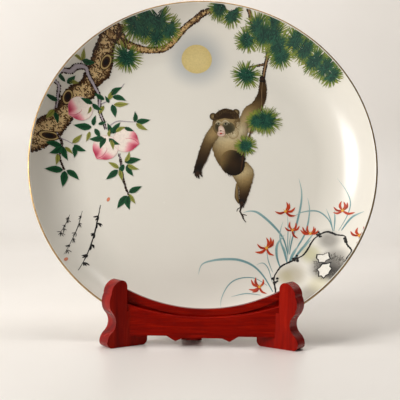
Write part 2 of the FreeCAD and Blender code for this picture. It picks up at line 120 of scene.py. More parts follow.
def add_mesh(name, verts, faces, materials, body, colours=None):
    """A mesh piece that rides on a body, with a paint colour per vertex where given."""
    mesh = bpy.data.meshes.new(name)
    mesh.from_pydata([tuple(v) for v in verts], [], faces)
    if colours is not None:
        layer = mesh.color_attributes.new("paint", "FLOAT_COLOR", "POINT")
        layer.data.foreach_set("color", [c for colour in colours for c in (*colour, 1.0)])
    for material in materials:
        mesh.materials.append(material)
    mesh.polygons.foreach_set("use_smooth", [True] * len(mesh.polygons))
    mesh.update()
    piece = bpy.data.objects.new(name, mesh)
    bpy.context.scene.collection.objects.link(piece)
    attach(piece, body)
    return piece


# ---- materials -------------------------------------------------------------------------------
MIX_FACTOR, MIX_A, MIX_B, MIX_COLOUR = 0, 6, 7, 2     # a colour mix node's sockets, by place
WHITE = (1.0, 1.0, 1.0)


class Nodes:
    """Short calls for building one material's node tree."""

    def __init__(self, name, roughness, metallic=0.0, coat=0.0, coat_roughness=0.03):
        self.material = bpy.data.materials.new(name)
        self.material.use_nodes = True
        self.tree = self.material.node_tree
        self.shader = self.tree.nodes["Principled BSDF"]
        self.set("Roughness", roughness)
        self.set("Metallic", metallic)
        self.set("Coat Weight", coat)
        self.set("Coat Roughness", coat_roughness)
        self.set("IOR", 1.5)

    def feed(self, node, inputs):
        """Set each input of a node to a value, or link it to a socket."""
        for key, value in inputs.items():
            if isinstance(value, bpy.types.NodeSocket):
                self.tree.links.new(value, node.inputs[key])
            else:
                node.inputs[key].default_value = value

    def set(self, name, value):
        """Set or link an input of the shader."""
        self.feed(self.shader, {name: value})

    def add(self, kind, output, inputs, **settings):
        """The named output of a new node."""
        node = self.tree.nodes.new(kind)
        for key, value in settings.items():
            setattr(node, key, value)
        self.feed(node, inputs)
        return node.outputs[output]

    def place(self, scale=(1, 1, 1), turn=(0, 0, 0)):
        """Object position, scaled and turned."""
        position = self.add("ShaderNodeTexCoord", "Object", {})
        inputs = {"Vector": position, "Scale": scale, "Rotation": turn}
        return self.add("ShaderNodeMapping", "Vector", inputs)

    def noise(self, vector, scale, detail=4.0, roughness=0.5, distortion=0.0):
        inputs = {"Vector": vector, "Scale": scale, "Detail": detail}
        inputs |= {"Roughness": roughness, "Distortion": distortion}
        return self.add("ShaderNodeTexNoise", "Fac", inputs)

    def ramp(self, source, stops):
        """Colour ramp from (position, colour) stops."""
        node = self.tree.nodes.new("ShaderNodeValToRGB")
        elements = node.color_ramp.elements
        while len(elements) < len(stops):
            elements.new(0.5)
        for element, (position, colour) in zip(elements, stops):
            element.position = position
            element.color = (*colour, 1.0)
        self.feed(node, {"Fac": source})
        return node.outputs["Color"]

    def multiply(self, factor, a, b):
        """Colour a times colour b, as far as factor says."""
        inputs = {MIX_FACTOR: factor, MIX_A: a, MIX_B: b}
        return self.add("ShaderNodeMix", MIX_COLOUR, inputs, data_type="RGBA", blend_type="MULTIPLY")

    def span(self, source, low, high):
        """Map 0..1 to low..high."""
        return self.add("ShaderNodeMapRange", "Result", {"Value": source, "To Min": low, "To Max": high})

    def bump(self, source, strength, distance):
        inputs = {"Height": source, "Strength": strength, "Distance": distance}
        self.set("Normal", self.add("ShaderNodeBump", "Normal", inputs))


def painted_colour(n):
    return n.add("ShaderNodeVertexColor", "Color", {}, layer_name="paint")


def glaze_material():
    """Warm white glaze over soft washes, with faint clouding, pinholes and orange peel."""
    n = Nodes("porcelain_glaze", 0.24, coat=0.22, coat_roughness=0.18)
    cloud = n.ramp(n.noise(n.place(), 9, 5, 0.55), [(0.25, (0.955, 0.95, 0.94)), (0.75, WHITE)])
    base = n.multiply(1.0, painted_colour(n), cloud)
    specks = n.add("ShaderNodeTexVoronoi", "Distance", {"Vector": n.place(), "Scale": 26})
    speck = n.ramp(specks, [(0.0, (0.55, 0.50, 0.42)), (0.012, WHITE)])
    n.set("Base Color", n.multiply(0.6, base, speck))
    n.set("Roughness", n.span(n.noise(n.place(), 60, 3), 0.18, 0.30))
    n.bump(n.noise(n.place(), 260, 2), 0.05, 0.0004)
    return n.material


def biscuit_material():
    """Unglazed foot: sandy, matt, a little burnt."""
    n = Nodes("biscuit_foot", 0.85)
    grain = n.noise(n.place(), 900, 6, 0.7)
    sand = n.ramp(grain, [(0.3, (0.6, 0.6, 0.6)), (0.7, WHITE)])
    patch = n.ramp(n.noise(n.place(), 30, 4), [(0.35, (0.62, 0.48, 0.35)), (0.7, (0.80, 0.72, 0.62))])
    n.set("Base Color", n.multiply(0.5, patch, sand))
    n.bump(grain, 0.5, 0.0003)
    return n.material


def enamel_material():
    """Overglaze enamel: the stroke's own colour, uneven as brushed colour is, slightly raised."""
    n = Nodes("overglaze_enamel", 0.4, coat=0.08, coat_roughness=0.15)
    n.set("Specular IOR Level", 0.25)
    streak = n.noise(n.place(), 420, 5, 0.65)
    shade = n.ramp(streak, [(0.25, (0.80, 0.80, 0.80)), (0.6, WHITE), (0.85, (1.10, 1.09, 1.06))])
    n.set("Base Color", n.multiply(0.75, painted_colour(n), shade))
    n.set("Roughness", n.span(streak, 0.34, 0.52))
    n.bump(streak, 0.12, 0.0002)
    return n.material


def gilt_material():
    """Thin gilt line, rubbed to brown in places."""
    n = Nodes("rim_gilding", 0.3, metallic=0.85)
    wear = n.noise(n.place(), 70, 6, 0.7)
    gold = [(0.3, (0.20, 0.12, 0.05)), (0.55, (0.44, 0.28, 0.12)), (0.8, (0.62, 0.44, 0.22))]
    n.set("Base Color", n.ramp(wear, gold))
    n.set("Roughness", n.span(wear, 0.42, 0.24))
    return n.material


def lacquer_material(name, turn, stretch):
    """Red lacquered rosewood. turn lays the grain along the board; stretch is its fineness."""
    n = Nodes(name, 0.3, coat=0.08, coat_roughness=0.05)
    n.set("Specular IOR Level", 0.25)
    n.set("Specular Tint", (1.0, 0.10, 0.03, 1.0))
    figure = n.noise(n.place(stretch, turn), 1.0, 6, 0.6, 1.0)
    pores = n.noise(n.place(tuple(3 * s for s in stretch), turn), 1.6, 4, 0.75)
    cloud = n.ramp(n.noise(n.place(), 14, 3), [(0.35, (0.6, 0.5, 0.45)), (0.6, WHITE)])
    body = n.ramp(figure, [
        (0.28, (0.130, 0.0006, 0.0001)), (0.46, (0.210, 0.0015, 0.0002)),
        (0.62, (0.290, 0.0045, 0.0003)), (0.80, (0.380, 0.0120, 0.0006)),
    ])
    pitted = n.multiply(0.25, body, n.ramp(pores, [(0.36, (0.45, 0.30, 0.25)), (0.5, WHITE)]))
    n.set("Base Color", n.multiply(0.4, pitted, cloud))
    n.set("Roughness", n.span(figure, 0.20, 0.32))
    n.bump(pores, 0.05, 0.0003)
    return n.material


def brass_material():
    """Plain brass, brushed and slightly dulled."""
    n = Nodes("hinge_brass", 0.3, metallic=1.0)
    tarnish = n.noise(n.place(), 140, 6, 0.7)
    yellow = [(0.3, (0.42, 0.27, 0.09)), (0.6, (0.72, 0.52, 0.22)), (0.85, (0.86, 0.68, 0.36))]
    n.set("Base Color", n.ramp(tarnish, yellow))
    brushed = n.noise(n.place((200, 4000, 200)), 1.0, 3)
    n.set("Roughness", n.span(brushed, 0.22, 0.45))
    n.bump(brushed, 0.08, 0.0001)
    return n.material


def felt_material():
    """Dark felt with a matted pile."""
    n = Nodes("pad_felt", 0.95)
    n.set("Sheen Weight", 0.5)
    pile = n.noise(n.place(), 2200, 8, 0.8)
    n.set("Base Color", n.ramp(pile, [(0.3, (0.035, 0.018, 0.014)), (0.7, (0.13, 0.075, 0.06))]))
    n.bump(pile, 0.8, 0.0006)
    return n.material


# ---- painting: colours and washes ------------------------------------------------------------
def tint(red, green, blue):
    """Linear colour from display values out of 255."""
    return tuple((value / 255) ** 2.2 for value in (red, green, blue))


GLAZE = tint(227, 223, 213)
UMBER = tint(58, 38, 24)
INK = tint(28, 26, 26)
BARK_LIGHT = tint(220, 190, 138)
BARK_DARK = tint(146, 108, 68)
BOUGH_LIGHT = tint(206, 172, 118)
BOUGH_DARK = tint(158, 122, 78)
PINE_DARK = tint(22, 58, 52)
PINE_BASE = tint(56, 92, 52)
PINE_MID = tint(52, 96, 58)
PINE_TIP = tint(146, 150, 62)
LEAF_DARK = tint(22, 60, 38)
LEAF_EDGE = tint(34, 88, 54)
LEAF_OLIVE = tint(128, 134, 58)
TWIG = tint(136, 124, 130)
CRIMSON = tint(178, 44, 78)
PINK = tint(232, 150, 160)
BLUSH = tint(240, 226, 214)
BLADE_TIP = tint(158, 184, 182)
BLADE = tint(112, 150, 152)
BLADE_DEEP = tint(70, 112, 120)
PETAL = tint(178, 54, 32)
PETAL_DEEP = tint(124, 26, 30)
POLLEN = tint(226, 170, 62)
MOON = tint(212, 192, 132)
MOON_PLACE = (-9, 141)

# Soft washes laid under the glaze: centre, reach, colour and strength, in millimetres on the plate.
WASHES = [
    ((127, -106), 16, tint(176, 172, 112), 0.6),
    ((149, -90), 17, tint(112, 108, 102), 0.7),
    ((122, -160), 20, tint(136, 128, 116), 0.7),
    ((143, -126), 24, tint(56, 53, 50), 0.85),
    ((154, -112), 17, tint(96, 92, 88), 0.6),
    ((106, -132), 20, tint(150, 138, 104), 0.55),
    ((96, -134), 14, tint(170, 160, 112), 0.45),
    ((152, -134), 16, tint(44, 42, 42), 0.8),
    ((132, -146), 16, tint(196, 188, 130), 0.35),
]


def wash_colour(x, y):
    """Glaze colour at a point of the painted face, with the moon's halo and the rock's washes."""
    x, y = x / MM, y / MM
    away = math.hypot(x - MOON_PLACE[0], y - MOON_PLACE[1])
    colour = mix(GLAZE, tint(150, 158, 164), 0.62 * (1 - smooth(14, 46, away)))
    for (centre_x, centre_y), reach, wash, strength in WASHES:
        away = math.hypot(x - centre_x, y - centre_y)
        colour = mix(colour, wash, strength * (1 - smooth(reach * 0.25, reach, away)))
    return colour


# ---- painting: brush strokes -----------------------------------------------------------------
EDGE_MARGIN = 202.0           # strokes stop here, short of the gilt rim
STROKE_RISE = 0.0006 * MM     # each stroke sits a hair over the last
STROKE_CYCLE = 50             # and every so many strokes the rise starts again


def spline(points, t):
    """Point and direction at t from 0 to 1 on a smooth curve through given points."""
    spans = len(points) - 1
    place = min(t * spans, spans - 1e-6)
    span = int(place)
    u = place - span
    p = [points[max(0, min(spans, span + k))] for k in (-1, 0, 1, 2)]
    value = []
    slope = []
    for axis in (0, 1):
        a, b, c, d = (q[axis] for q in p)
        value.append(0.5 * (2 * b + (c - a) * u + (2 * a - 5 * b + 4 * c - d) * u ** 2
                            + (3 * b - a - 3 * c + d) * u ** 3))
        slope.append(0.5 * ((c - a) + 2 * (2 * a - 5 * b + 4 * c - d) * u
                            + 3 * (3 * b - a - 3 * c + d) * u ** 2))
    return value, slope


def along(values, t):
    """Value at t from 0 to 1 in a list that is spread evenly; numbers or colours."""
    if len(values) == 1:
        return values[0]
    place = min(t * (len(values) - 1), len(values) - 1 - 1e-6)
    index = int(place)
    a, b = values[index], values[index + 1]
    if isinstance(a, tuple):
        return mix(a, b, place - index)
    return a + (b - a) * (place - index)


class Layer:
    """Brush strokes of one subject, one thin skin of enamel at a lift in mm over the glaze."""

    def __init__(self, name, lift):
        self.name = name
        self.lift = lift * MM
        self.verts = []
        self.faces = []
        self.colours = []
        self.strokes = 0

    def point(self, x, y, colour):
        reach = math.hypot(x, y)
        if reach > EDGE_MARGIN:
            x, y = x * EDGE_MARGIN / reach, y * EDGE_MARGIN / reach
        self.verts.append(on_glaze(x * MM, y * MM, self.lift + self.strokes % STROKE_CYCLE * STROKE_RISE))
        self.colours.append(colour)
        return len(self.verts) - 1

    def grid(self, rows):
        self.strokes += 1
        for near, far in zip(rows, rows[1:]):
            for i in range(len(near) - 1):
                self.faces.append((near[i], near[i + 1], far[i + 1], far[i]))

    def brush(self, points, widths, core, edge=None, steps=12, across=2, rough=0.0):
        """Stroke along a smooth curve. widths are half widths; core and edge run along it."""
        rows = []
        edge = edge or core
        for step in range(steps + 1):
            t = step / steps
            (x, y), (dx, dy) = spline(points, t)
            length = math.hypot(dx, dy) or 1.0
            nx, ny = -dy / length, dx / length
            half = max(0.03, along(widths, t))
            row = []
            for column in range(across + 1):
                side = 1 - 2 * column / across
                reach = half * side * (1 + rough * random.uniform(-1, 1))
                colour = mix(along(core, t), along(edge, t), abs(side) ** 1.5)
                row.append(self.point(x + nx * reach, y + ny * reach, colour))
            rows.append(row)
        self.grid(rows)

    def blob(self, centre, reach, colour, spokes=36, rings=5):
        """Closed shape. reach(angle) is its radius and colour(part, angle) its paint."""
        middle = self.point(*centre, colour(0.0, 0.0))
        rows = []
        for ring in range(1, rings + 1):
            row = []
            for spoke in range(spokes):
                angle = 2 * math.pi * spoke / spokes
                radius = reach(angle) * ring / rings
                x = centre[0] + radius * math.cos(angle)
                y = centre[1] + radius * math.sin(angle)
                row.append(self.point(x, y, colour(ring / rings, angle)))
            rows.append(row + [row[0]])
        for i in range(spokes):
            self.faces.append((middle, rows[0][i], rows[0][i + 1]))
        for near, far in zip(rows, rows[1:]):
            for i in range(spokes):
                self.faces.append((near[i], far[i], far[i + 1], near[i + 1]))
        self.strokes += 1

    def band(self, left, right, paint, steps=24, across=8, rough=0.0):
        """Shape between two edges; paint(t, side) colours it, side running from -1 to 1."""
        rows = []
        for step in range(steps + 1):
            t = step / steps
            row = []
            for column in range(across + 1):
                side = 2 * column / across - 1
                loose = rough if column in (0, across) else 0.0
                x, y = between(left, right, t, side)
                row.append(self.point(x + jitter(loose), y + jitter(loose), paint(t, side)))
            rows.append(row)
        self.grid(rows)

    def patch(self, outline, inner, outer, rings=5):
        """Closed patch that shades from inner to outer; the outline goes round its own middle."""
        cx, cy = middle_of(outline)
        middle = self.point(cx, cy, inner)
        rows = []
        for ring in range(1, rings + 1):
            part = ring / rings
            colour = mix(inner, outer, part ** 2)
            row = [self.point(cx + (x - cx) * part, cy + (y - cy) * part, colour) for x, y in outline]
            rows.append(row + [row[0]])
        for i in range(len(outline)):
            self.faces.append((middle, rows[0][i + 1], rows[0][i]))
        self.grid(rows)

    def oval(self, centre, half_wide, half_high, inner, outer, turn=0.0, power=2.0, **shape):
        """Ellipse that shades from inner to outer."""
        reach = ellipse(half_wide, half_high, turn)
        self.blob(centre, reach, lambda part, angle: mix(inner, outer, part ** power), **shape)

    def dash(self, start, heading, length, widths, colour):
        """One short straight stroke."""
        self.brush([start, step_off(start, heading, length)], widths, [colour], steps=2, across=1)


def ellipse(half_wide, half_high, turn):
    """A turned ellipse, as its radius at an angle."""
    def reach(angle):
        local = angle - turn
        return 1 / math.hypot(math.cos(local) / half_wide, math.sin(local) / half_high)
    return reach


def middle_of(outline):
    return tuple(sum(axis) / len(outline) for axis in zip(*outline))


def beside(points, t, reach):
    """Point at a reach beside a curve, with the curve's heading in radians and its speed there."""
    (x, y), (dx, dy) = spline(points, t)
    speed = math.hypot(dx, dy) or 1.0
    return (x - dy / speed * reach, y + dx / speed * reach), math.atan2(dy, dx), speed


def between(left, right, t, side):
    """Point between two edge curves."""
    (lx, ly), _ = spline(left, t)
    (rx, ry), _ = spline(right, t)
    part = (side + 1) / 2
    return lx + (rx - lx) * part, ly + (ry - ly) * part


def step_off(place, degrees, reach):
    turn = math.radians(degrees)
    return place[0] + reach * math.cos(turn), place[1] + reach * math.sin(turn)


def jitter(amount):
    return random.uniform(-amount, amount)


# ---- the plate -------------------------------------------------------------------------------
def arc_points(start, end, steps):
    """Points after start on the arc that leaves start level and rises to end."""
    radius = rising_radius(start, end)
    turn = math.asin((end[0] - start[0]) / radius)
    points = []
    for step in range(1, steps + 1):
        angle = turn * step / steps
        points.append((start[0] + radius * math.sin(angle), start[1] + radius * (1 - math.cos(angle))))
    return points


def front_profile():
    """Painted face from the middle out to the rim."""
    steps = range(1, FLOOR_RINGS + 1)
    floor = [(FLOOR_RADIUS * step / FLOOR_RINGS, -WELL_DEPTH) for step in steps]
    return floor + arc_points(FRONT_START, FRONT_END, WALL_RINGS)


def back_profile():
    """Rounded rim, underside and foot ring, from the rim in to the middle."""
    under = -WELL_DEPTH - FLOOR_THICKNESS
    bottom = -PLATE_HEIGHT
    lip = [lip_point(angle) for angle in range(130, -41, -15)]
    rise = arc_points((FLOOR_RADIUS, under), lip_point(-40), UNDER_RINGS)
    inner = RING_RADIUS - RING_WIDTH
    outer_round = (RING_RADIUS - RING_ROUND, bottom + RING_ROUND)
    inner_round = (inner + RING_ROUND, bottom + RING_ROUND)
    ring = []
    for centre, first in ((outer_round, 0), (inner_round, -90)):
        ring += [step_off(centre, first - 22.5 * step, RING_ROUND) for step in range(5)]
    edges = [(FLOOR_RADIUS, under), (RING_RADIUS + 8 * MM, under), (RING_RADIUS + 0.8 * MM, under)]
    middle = [(inner, under), (inner - 0.8 * MM, under), (inner * 0.6, under), (inner * 0.3, under)]
    return lip + rise[-2::-1] + edges + ring + middle


def circle(radius):
    """Flat points round the plate's axis."""
    turns = [2 * math.pi * step / SEGMENTS for step in range(SEGMENTS)]
    return [(radius * math.cos(turn), radius * math.sin(turn)) for turn in turns]


def turned(profile):
    """Points and faces of a profile of radius and height, turned round the plate's axis."""
    verts = []
    for radius, height in profile:
        verts += [CENTRE + RIGHT * x + UP * y - BACK * height for x, y in circle(radius)]
    faces = []
    for near in range(0, (len(profile) - 1) * SEGMENTS, SEGMENTS):
        far = near + SEGMENTS
        for step in range(SEGMENTS):
            after = (step + 1) % SEGMENTS
            faces.append((near + step, near + after, far + after, far + step))
    return verts, faces


def make_plate(materials):
    """Turned body: glaze outside, bare biscuit under the foot ring."""
    painted = front_profile()
    verts, faces = turned(painted + back_profile())
    colours = [wash_colour(x, y) for radius, _ in painted for x, y in circle(radius)]
    colours += [GLAZE] * (len(verts) - len(colours))
    last = len(verts) - SEGMENTS
    front = len(verts)
    back = front + 1
    verts += [CENTRE + BACK * WELL_DEPTH, CENTRE + BACK * (WELL_DEPTH + FLOOR_THICKNESS)]
    colours += [wash_colour(0, 0), GLAZE]
    for step in range(SEGMENTS):
        after = (step + 1) % SEGMENTS
        faces += [(front, after, step), (back, last + step, last + after)]
    plate = add_mesh("plate_body", verts, faces, materials, "plate", colours)
    bare = PLATE_HEIGHT - RING_ROUND * 0.9
    for polygon in plate.data.polygons:
        polygon.material_index = int((polygon.center - CENTRE).dot(BACK) > bare)
    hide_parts("plate")
    return plate


# ---- painting: pine --------------------------------------------------------------------------
TRUNK = [
    # the two edges of each length of trunk, and how many bark scales it carries
    ([(-203, 37), (-196, 44), (-186, 54), (-176, 66), (-170, 82)],
     [(-203, 3), (-188, 16), (-174, 32), (-163, 50), (-148, 76)], 420),
    ([(-176, 64), (-170, 80), (-160, 95), (-149, 103), (-144, 117), (-138, 128), (-134, 140), (-128, 154),
      (-126, 166)],
     [(-142, 82), (-134, 88), (-132, 99), (-126, 106), (-118, 114), (-114, 129), (-112, 148), (-105, 160),
      (-98, 172)], 820),
]
PINE_BRANCHES = [
    # points along it, and half widths
    ([(-124, 163), (-114, 159), (-102, 155), (-89, 152), (-72, 150), (-55, 152), (-43, 158), (-26, 177),
      (-12, 187), (0, 194), (18, 197)], [3.6, 4.2, 4, 4, 3.4, 3.4, 3.4, 3, 2.8, 2.4, 1.6]),
    ([(-114, 176), (-104, 164), (-96, 154)], [4, 3.4, 2]),
    ([(52, 198), (57, 187), (60, 178)], [1.8, 1.7, 1.4]),
    ([(82, 162), (79, 144), (76, 130), (74, 116)], [2, 1.9, 1.8, 1.4]),
    ([(56, 132), (66, 134), (76, 136)], [0.7, 1.0, 1.2]),
    ([(103, 163), (113, 148), (129, 129)], [1.8, 1.6, 1.2]),
]
HELD_TWIG = [
    ([(73, 112), (72, 98), (72, 86), (70, 74), (64, 60), (58, 46), (53, 30), (49, 16), (46, -6)],
     [0.4, 0.45, 0.45, 0.6, 0.8, 0.9, 0.9, 0.8, 0.7]),
]
CLUMPS = [
    # centre, reach, heading and spread in degrees
    ((-85, 176), 22, 250, 300), ((-72, 184), 20, 230, 280), ((-59, 182), 22, 270, 300),
    ((-60, 167), 18, 300, 320), ((-74, 172), 16, 240, 300), ((-46, 176), 18, 320, 200),
    ((-96, 139), 20, 265, 330), ((18, 199), 15, 250, 190), ((33, 192), 15, 300, 210),
    ((54, 166), 17, 230, 300), ((66, 178), 18, 190, 320), ((74, 170), 20, 200, 340),
    ((86, 168), 18, 20, 320), ((92, 156), 20, 320, 330), ((96, 144), 17, 300, 320),
    ((84, 180), 13, 40, 220), ((112, 158), 18, 60, 330), ((124, 148), 18, 330, 320),
    ((136, 134), 18, 300, 330), ((148, 124), 17, 300, 330), ((156, 114), 14, 310, 260),
    ((53, 121), 20, 250, 350),
]
HELD_CLUMPS = [((76, 61), 21, 310, 360), ((66, 60), 15, 200, 240), ((52, 28), 14, 270, 360)]
KNOTS = [
    # centre, half width, half height and turn in degrees
    ((-184, 30), 8, 3.6, 10), ((-165, 81), 3.6, 6.5, -20), ((-121, 130), 3.8, 7, -28),
]


BARK_REACH = 0.98             # bark scales stop just inside the bough's edge


def bark_colour(_, side):
    """Light ochre down the middle, brown at both sides."""
    return mix(BARK_LIGHT, BARK_DARK, abs(side) ** 2.4)


def scale_mark(scales, centre, heading, size, side):
    """One curled bark scale, darker and bolder towards the sides."""
    curl = [step_off(centre, heading + turn, size) for turn in (-100, -40, 20, 90)]
    dark = mix(UMBER, tint(120, 84, 48), random.random() ** (1.2 + 2 * abs(side)))
    scales.brush(curl, [0.12, 0.42 + 0.2 * abs(side), 0.5, 0.12], [dark], steps=6)


def paint_trunk(layer, scales, left, right, count):
    """A length of trunk with its scales and a dotted dark outline."""
    layer.band(left, right, bark_colour, steps=44, across=16, rough=0.9)
    for _ in range(count):
        side = random.choice((-1, 1)) * (1 - random.random() ** 2.2)
        place = between(left, right, random.random(), side * BARK_REACH)
        scale_mark(scales, place, 60 + jitter(70), random.uniform(0.8, 1.9), side)
    for edge in (left, right):
        for _ in range(26 * len(edge)):
            (x, y), _ = spline(edge, random.random())
            size = random.uniform(0.6, 1.7)
            scales.oval((x + jitter(1.0), y + jitter(1.0)), size, size * 0.7, INK, UMBER, spokes=8, rings=1)


def paint_bark(layer, scales, points, widths):
    """Ochre bark with a dark broken edge and rows of scales."""
    layer.brush(points, widths, [BOUGH_LIGHT], [BOUGH_DARK], steps=26, across=6, rough=0.12)
    for _ in range(int(9 * len(points) * sum(widths) / len(widths))):
        t = random.random()
        side = random.choice((-1, 1)) * (1 - random.random() ** 2.0)
        centre, heading, _ = beside(points, t, along(widths, t) * side * BARK_REACH)
        scale_mark(scales, centre, math.degrees(heading) + jitter(50), random.uniform(0.6, 1.4), side)


def paint_edge_marks(scales, points, widths):
    """Knobbly black outline down both sides of a branch."""
    for side in (-1, 1):
        t = 0.0
        while t < 1.0:
            centre, heading, speed = beside(points, t, along(widths, t) * side)
            size = random.uniform(0.6, 1.3)
            scales.oval(centre, size * 1.3, size * 0.8, INK, UMBER, turn=heading, spokes=8, rings=1)
            t += random.uniform(1.4, 2.8) / (speed * (len(points) - 1))


def paint_knot(layer, centre, half_wide, half_high, degrees):
    """Ringed scar of a lost branch."""
    turn = math.radians(degrees)
    for part, colour in ((1.6, UMBER), (1.38, tint(188, 162, 108)), (1.05, UMBER), (0.6, INK)):
        layer.oval(centre, half_wide * part, half_high * part, colour, colour, turn, spokes=26, rings=8)
        layer.lift += 0.03 * MM


def paint_tips(layer, centre, reach, heading, spread):
    """Splayed yellow-green needles round a tuft."""
    count = int(2.4 * reach * spread / 360) + 14
    for index in range(count):
        angle = heading + spread * (index / count - 0.5) + jitter(6)
        start = step_off(centre, angle, reach * 0.2)
        end = step_off(centre, angle, reach * random.uniform(0.82, 1.08))
        middle = step_off(((start[0] + end[0]) / 2, (start[1] + end[1]) / 2), angle + 90, jitter(1.0))
        tip = mix(PINE_TIP, tint(92, 116, 52), random.random())
        colours = [PINE_DARK, PINE_BASE, tip, tip]
        layer.brush([start, middle, end], [0.45, 0.7, 0.62, 0.14], colours, steps=5, across=1)


def paint_heart(layer, centre, reach, heading, spread):
    """Dark needles packed over the middle of a tuft."""
    for _ in range(int(5.5 * reach)):
        angle = heading + spread * (random.random() - 0.5)
        start = step_off(centre, random.uniform(0, 360), reach * random.uniform(0.0, 0.35))
        end = step_off(centre, angle, reach * random.uniform(0.34, 0.68))
        heart = mix(tint(16, 46, 42), tint(44, 92, 72), random.random() ** 1.4)
        colours = [heart, heart, mix(heart, PINE_MID, random.random())]
        layer.brush([start, end], [0.3, 0.5, 0.12], colours, steps=4, across=1)


def paint_needles(name, lift, clumps):
    tips = Layer(name + "_tips", lift)
    hearts = Layer(name + "_hearts", lift + 0.06)
    for clump in clumps:
        paint_tips(tips, *clump)
        paint_heart(hearts, *clump)
    return [tips, hearts]


def paint_pine():
    trunk = Layer("pine_trunk", 0.10)
    scales = Layer("pine_bark_scales", 0.16)
    for left, right, count in TRUNK:
        paint_trunk(trunk, scales, left, right, count)
    for points, widths in PINE_BRANCHES[:2]:
        paint_bark(trunk, scales, points, widths)
        paint_edge_marks(scales, points, widths)
    for points, widths in PINE_BRANCHES[2:]:
        trunk.brush(points, widths, [tint(150, 118, 84)], [UMBER], steps=16)
        paint_edge_marks(scales, points, widths)
    knots = Layer("pine_knots", 0.20)
    for centre, half_wide, half_high, degrees in KNOTS:
        knots.lift = 0.20 * MM
        paint_knot(knots, centre, half_wide, half_high, degrees)
    return [trunk, scales, knots] + paint_needles("pine", 0.30, CLUMPS)


def paint_held_twig():
    """The pine twig the monkey holds, in front of its arm and side."""
    twig = Layer("held_twig", 1.02)
    colours = [tint(160, 132, 96), tint(150, 122, 88), tint(88, 64, 42), UMBER]
    for points, widths in HELD_TWIG:
        twig.brush(points, widths, colours, [UMBER], steps=40, rough=0.3)
    return [twig] + paint_needles("held_pine", 1.06, HELD_CLUMPS)


# ---- painting: peach -------------------------------------------------------------------------
PEACH_TWIGS = [
    # points along it, and half widths
    ([(-176, 100), (-172, 107), (-162, 110), (-155, 117), (-145, 119), (-142, 112), (-134, 99), (-128, 87),
      (-127, 69), (-122, 56), (-119, 46)], [1.8, 2.2, 2.6, 2.9, 2.6, 2.4, 2.1, 1.9, 1.6, 1.3, 0.9]),
    ([(-183, 94), (-175, 91), (-176, 78), (-177, 65)], [2, 1.8, 1.6, 1.1]),
    ([(-101, 14), (-98, 0), (-96, -14), (-92, -28), (-88, -37)], [0.9, 0.8, 0.7, 0.6, 0.4]),
    ([(-176, 36), (-170, 24), (-172, 8), (-166, -8)], [1.0, 0.8, 0.6, 0.4]),
    ([(-172, 30), (-164, 28), (-157, 25)], [0.7, 0.5, 0.4]),
    ([(-152, 118), (-150, 122), (-149, 126)], [0.8, 0.6, 0.4]),
    ([(-126, 78), (-116, 84), (-104, 98), (-98, 106)], [0.8, 0.6, 0.5, 0.3]),
    ([(-118, 46), (-106, 56), (-92, 56), (-82, 56)], [0.8, 0.6, 0.5, 0.3]),
    ([(-177, 84), (-177, 74), (-180, 62)], [0.6, 0.5, 0.4]),
]
LEAVES = [
    # base, heading in degrees, length, olive or dark
    ((-149, 125), 78, 13, 1), ((-149, 125), 8, 15, 0), ((-149, 125), 168, 11, 1),
    ((-166, 96), 50, 14, 0), ((-168, 97), 135, 12, 0), ((-164, 98), 10, 12, 1),
    ((-176, 74), 172, 14, 0), ((-180, 62), 236, 15, 1), ((-179, 60), 286, 13, 0),
    ((-117, 84), 65, 16, 1), ((-114, 90), 40, 17, 0), ((-112, 88), 345, 17, 0), ((-122, 84), 150, 14, 0),
    ((-110, 78), 5, 18, 1), ((-112, 78), 285, 17, 0), ((-122, 76), 245, 13, 1), ((-116, 80), 120, 10, 0),
    ((-136, 78), 160, 15, 0), ((-136, 78), 330, 14, 0), ((-138, 74), 250, 10, 1),
    ((-136, 48), 178, 21, 0), ((-134, 50), 80, 13, 0), ((-132, 46), 300, 14, 0), ((-138, 42), 255, 13, 1),
    ((-128, 52), 20, 10, 0), ((-112, 40), 110, 14, 0), ((-110, 40), 60, 17, 0), ((-106, 42), 30, 14, 1),
    ((-120, 34), 185, 18, 0), ((-118, 34), 245, 15, 0), ((-114, 34), 330, 15, 0), ((-112, 32), 285, 13, 1),
    ((-114, 36), 85, 10, 1), ((-84, 56), 90, 13, 0), ((-82, 56), 10, 17, 0), ((-82, 54), 330, 16, 1),
    ((-96, 48), 340, 12, 0), ((-170, 20), 176, 18, 0), ((-170, 20), 220, 17, 0), ((-168, 20), 290, 17, 0),
    ((-166, 20), 320, 12, 1), ((-158, 26), 48, 16, 1), ((-156, 24), 335, 16, 0), ((-156, 22), 275, 14, 0),
    ((-174, 10), 265, 14, 1), ((-167, -9), 188, 20, 0), ((-165, -10), 266, 20, 0), ((-163, -9), 325, 18, 0),
    ((-94, 4), 12, 19, 0), ((-94, 4), 70, 14, 1), ((-95, 1), 252, 14, 0), ((-91, 1), 298, 16, 0),
    ((-91, 1), 338, 15, 1), ((-101, -4), 150, 15, 1), ((-102, -6), 222, 18, 0), ((-100, -6), 285, 14, 1),
    ((-88, -34), 28, 17, 0), ((-88, -36), 305, 14, 1), ((-90, -38), 235, 19, 0), ((-88, -38), 275, 17, 0),
]
PEACHES = [
    # centre, radius, and the heading of its blushing tip
    ((-150, 70), 14.5, 215), ((-118, 22), 15.5, 235), ((-94, 32), 15, 345),
]


